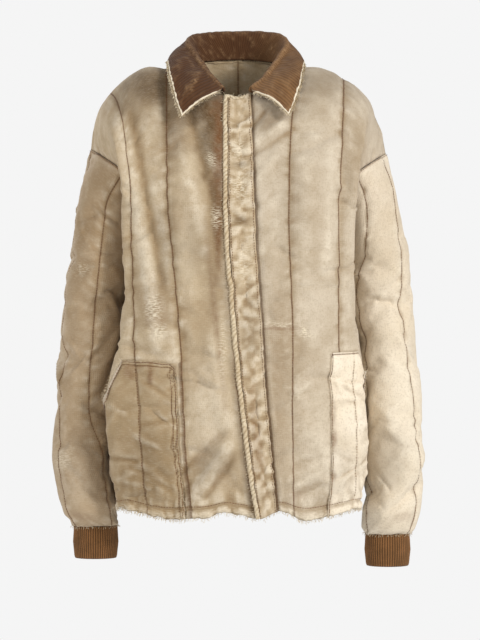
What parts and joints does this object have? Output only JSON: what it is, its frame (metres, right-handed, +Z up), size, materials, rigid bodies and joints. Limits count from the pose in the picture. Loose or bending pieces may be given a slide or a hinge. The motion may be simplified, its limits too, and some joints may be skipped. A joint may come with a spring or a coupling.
{
  "type": "quilted jacket",
  "caption": "Oversized padded cotton work jacket, worn and hollow, with a turn-down corduroy collar, storm flap, patch pockets, dropped sleeves and rib cuffs",
  "frame": {"origin": "the middle of the neck opening, level with the tops of the shoulders, where the wearer's neck and shoulders hold the jacket", "axes": "+Z up, +Y towards the wearer's back, so the front faces -Y; +X towards the wearer's left"},
  "size_m": [0.6018, 0.3008, 0.8865],
  "materials": {
    "duck": "faded, worn padded cotton duck",
    "binding": "frayed cotton binding",
    "corduroy": "worn brown corduroy",
    "rib_knit": "brown rib knit"
  },
  "bodies": {
    "root": {"front_right": "duck", "front_left": "duck", "back": "duck", "sleeve_right": "duck", "sleeve_left": "duck", "flap": "duck", "flap_binding": "binding", "pocket_right": "duck", "pocket_left": "duck", "pocket_binding_right": "binding", "pocket_binding_left": "binding", "collar": "corduroy", "cuff_right": "rib_knit", "cuff_left": "rib_knit"}
  },
  "joints": []
}
